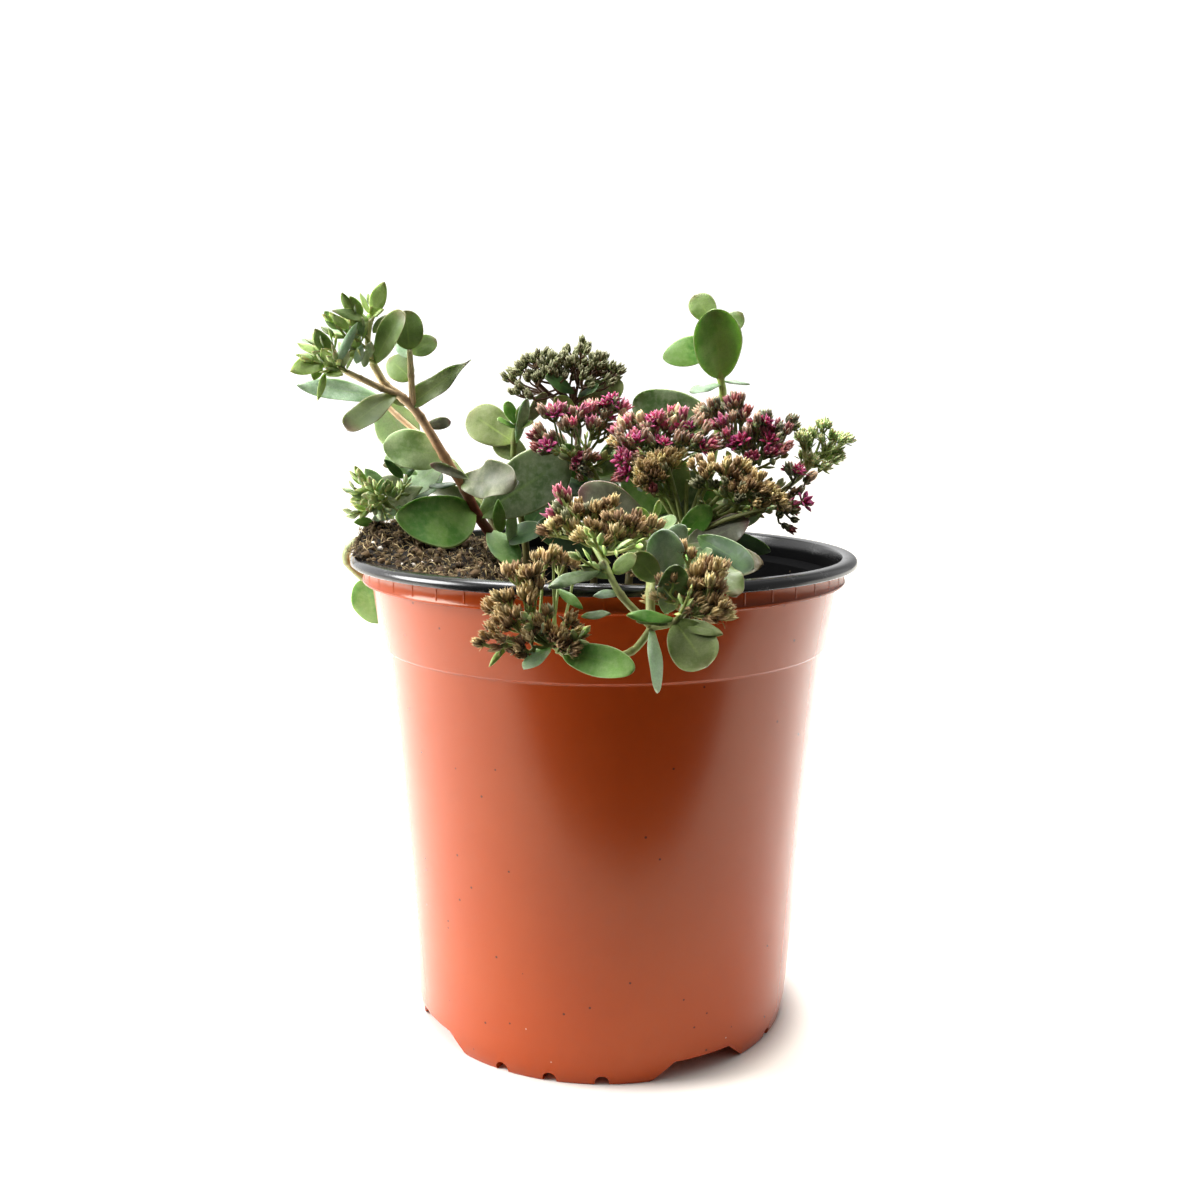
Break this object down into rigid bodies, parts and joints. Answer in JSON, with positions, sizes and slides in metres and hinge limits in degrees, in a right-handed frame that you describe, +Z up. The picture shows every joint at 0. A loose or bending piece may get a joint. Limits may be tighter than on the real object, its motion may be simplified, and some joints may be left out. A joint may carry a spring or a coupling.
{
  "type": "potted sedum",
  "caption": "Stonecrop plant in a formed nursery pot: tapering stems with broad fleshy leaves and domed flower heads, some spilling over the rim.",
  "frame": {"origin": "middle of the pot's underside, on the surface that it stands on", "axes": "+Z up along the pot's axis, -Y towards the side that the plant spills over, +X to the right of that view"},
  "size_m": [0.1821, 0.1929, 0.2406],
  "materials": {
    "pot_plastic": "satin terracotta sheet, black inside and on the rim",
    "peat_soil": "fibrous brown peat with pale grains",
    "stem": "green to tan with a maroon base",
    "leaf": "grey-green with a waxy bloom and a darker purple edge",
    "green_bud": "fresh green, waxy",
    "pink_flower": "magenta petals among dusty pink and green sepals",
    "dried_flower": "dry brown with pale tips"
  },
  "bodies": {
    "root": {"buds_left_low": "green_bud", "head_dark_back": "dried_flower", "head_dried_centre": "dried_flower", "head_dried_front_left": "dried_flower", "head_dried_front_right": "dried_flower", "head_green_back": "green_bud", "head_green_right": "green_bud", "head_pink_centre": "pink_flower", "head_pink_left": "pink_flower", "head_pink_right": "pink_flower", "head_tan_right": "dried_flower", "leaf_back_left_1": "leaf", "leaf_back_left_2": "leaf", "leaf_back_left_3": "leaf", "leaf_back_right_1": "leaf", "leaf_back_right_2": "leaf", "leaf_back_right_3": "leaf", "leaf_centre_dark": "leaf", "leaf_centre_pale": "leaf", "leaf_front_green": "leaf", "leaf_front_hanging": "leaf", "leaf_front_pale": "leaf", "leaf_front_round": "leaf", "leaf_left_behind": "leaf", "leaf_left_broad": "leaf", "leaf_left_curled": "leaf", "leaf_left_folded": "leaf", "leaf_left_grey": "leaf", "leaf_left_hanging": "leaf", "leaf_left_large": "leaf", "leaf_left_long": "leaf", "leaf_left_low": "leaf", "leaf_left_oblong": "leaf", "leaf_left_round": "leaf", "leaf_left_upper": "leaf", "leaf_over_left_rim": "leaf", "leaf_right_long": "leaf", "leaf_right_low": "leaf", "leaf_upright_front": "leaf", "leaf_upright_left": "leaf", "leaf_upright_low": "leaf", "leaf_upright_right": "leaf", "leaf_upright_top": "leaf", "pot": "pot_plastic", "soil": "peat_soil", "stem_back_left": "stem", "stem_back_right": "stem", "stem_dark_head": "stem", "stem_left": "stem", "stem_left_low": "stem", "stem_over_front_rim": "stem", "stem_over_left_rim": "stem", "stem_pink_left": "stem", "stem_pink_right": "stem", "stem_short_centre": "stem", "stem_upright": "stem", "young_shoot_left": "green_bud", "young_shoot_top": "green_bud"}
  },
  "joints": []
}
